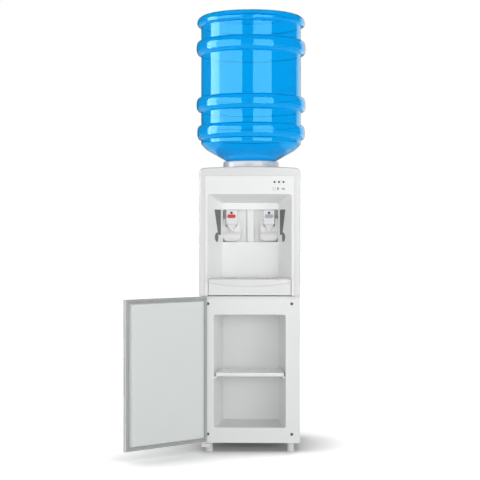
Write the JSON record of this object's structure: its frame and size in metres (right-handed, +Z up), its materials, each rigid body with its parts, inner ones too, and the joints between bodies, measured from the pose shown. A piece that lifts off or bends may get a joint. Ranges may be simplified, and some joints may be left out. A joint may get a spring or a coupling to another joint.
{
  "type": "water cooler",
  "caption": "Top-load water cooler: upturned ribbed bottle on a narrow cabinet with hot and cold taps in a recess, drip tray and a cooled cupboard with its door open.",
  "frame": {"origin": "on the floor under the middle of the body", "axes": "+Z up, front faces -Y, +X to the right as seen from the front"},
  "size_m": [0.4884, 0.517, 1.236],
  "materials": {
    "case_white": "satin",
    "gloss_white": "gloss",
    "panel_white": "satin",
    "liner_white": "satin",
    "door_white": "satin",
    "collar_white": "gloss",
    "bottle_blue": "clear",
    "cap_blue": "satin",
    "grey_rubber": "matt",
    "foot_white": "satin",
    "inlay_grey": "satin",
    "gasket_grey": "matt",
    "dark_plastic": "matt",
    "hot_red": "gloss",
    "cold_grey": "gloss",
    "lens_dark": "gloss",
    "board_green": "satin",
    "foam": "foam",
    "bright_steel": "brushed",
    "black_paint": "satin",
    "copper": "drawn",
    "switch_red": "gloss",
    "switch_green": "gloss",
    "pipe_clear": "satin"
  },
  "bodies": {
    "housing": {"back_panel": "case_white", "base_plate": "case_white", "bottle_collar": "collar_white", "cabinet_foam": "foam", "cabinet_liner": "liner_white", "cold_pipe": "pipe_clear", "cold_tank": "bright_steel", "cold_tank_foam": "foam", "cold_tap_body": "gloss_white", "cold_tap_label": "cold_grey", "compressor": "black_paint", "compressor_mounts": "grey_rubber", "condenser": "black_paint", "condenser_clips": "dark_plastic", "control_board": "board_green", "drain_stubs": "panel_white", "fascia_frame": "gloss_white", "feet": "foot_white", "fill_pipe": "pipe_clear", "front_panel": "panel_white", "hot_pipe": "pipe_clear", "hot_tank": "bright_steel", "hot_tap_body": "gloss_white", "hot_tap_label": "hot_red", "led_lenses": "lens_dark", "liner_plugs": "dark_plastic", "lower_hinge": "case_white", "mains_inlet": "dark_plastic", "mid_deck": "case_white", "refrigerant_pipes": "copper", "side_panel_left": "case_white", "side_panel_right": "case_white", "slot_inlays": "inlay_grey", "switch_bezel": "dark_plastic", "tank_bridge": "case_white", "tap_nuts": "pipe_clear", "tap_pins": "bright_steel", "tap_studs": "dark_plastic", "top_cover": "gloss_white", "upper_hinge": "bright_steel", "water_seat": "panel_white"},
    "door": {"door_outer": "door_white", "door_inner": "door_white", "door_foam": "foam", "door_gasket": "gasket_grey", "door_bushes": "dark_plastic"},
    "shelf": {"shelf": "panel_white"},
    "tray": {"drip_tray": "gloss_white"},
    "grille": {"drip_grille": "panel_white"},
    "hot_paddle": {"hot_paddle": "gloss_white"},
    "cold_paddle": {"cold_paddle": "gloss_white"},
    "hot_switch": {"hot_switch": "switch_red"},
    "cold_switch": {"cold_switch": "switch_green"},
    "bottle": {"bottle": "bottle_blue", "bottle_cap": "cap_blue"},
    "hot_drain_cap": {"hot_drain_cap": "dark_plastic"},
    "cold_drain_cap": {"cold_drain_cap": "dark_plastic"}
  },
  "joints": [
    {"name": "door_hinge", "type": "hinge", "parent": "housing", "child": "door", "pos_m": [-0.1295, -0.142, 0.23], "axis": [0, 0, -1], "range_deg": [-138, 0]},
    {"name": "shelf_slide", "type": "slide", "parent": "housing", "child": "shelf", "axis": [0, -1, 0], "range_m": [0, 0.07]},
    {"name": "tray_slide", "type": "slide", "parent": "housing", "child": "tray", "axis": [0, -1, 0], "range_m": [0, 0.08]},
    {"name": "grille_lift", "type": "slide", "parent": "tray", "child": "grille", "axis": [0, 0, 1], "range_m": [0, 0.03]},
    {"name": "hot_paddle_hinge", "type": "hinge", "parent": "housing", "child": "hot_paddle", "pos_m": [-0.053, -0.057, 0.646], "axis": [1, 0, 0], "range_deg": [0, 12], "stiffness_Nm_per_rad": 0.15},
    {"name": "cold_paddle_hinge", "type": "hinge", "parent": "housing", "child": "cold_paddle", "pos_m": [0.053, -0.057, 0.646], "axis": [1, 0, 0], "range_deg": [0, 12], "stiffness_Nm_per_rad": 0.15},
    {"name": "hot_switch_rocker", "type": "hinge", "parent": "housing", "child": "hot_switch", "pos_m": [-0.087, 0.17, 0.385], "axis": [1, 0, 0], "range_deg": [0, 16]},
    {"name": "cold_switch_rocker", "type": "hinge", "parent": "housing", "child": "cold_switch", "pos_m": [-0.053, 0.17, 0.385], "axis": [1, 0, 0], "range_deg": [0, 16]},
    {"name": "bottle_lift", "type": "slide", "parent": "housing", "child": "bottle", "axis": [0, 0, 1], "range_m": [0, 0.12]},
    {"name": "hot_drain_cap_pull", "type": "slide", "parent": "housing", "child": "hot_drain_cap", "axis": [0, 1, 0], "range_m": [0, 0.03]},
    {"name": "cold_drain_cap_pull", "type": "slide", "parent": "housing", "child": "cold_drain_cap", "axis": [0, 1, 0], "range_m": [0, 0.03]}
  ]
}
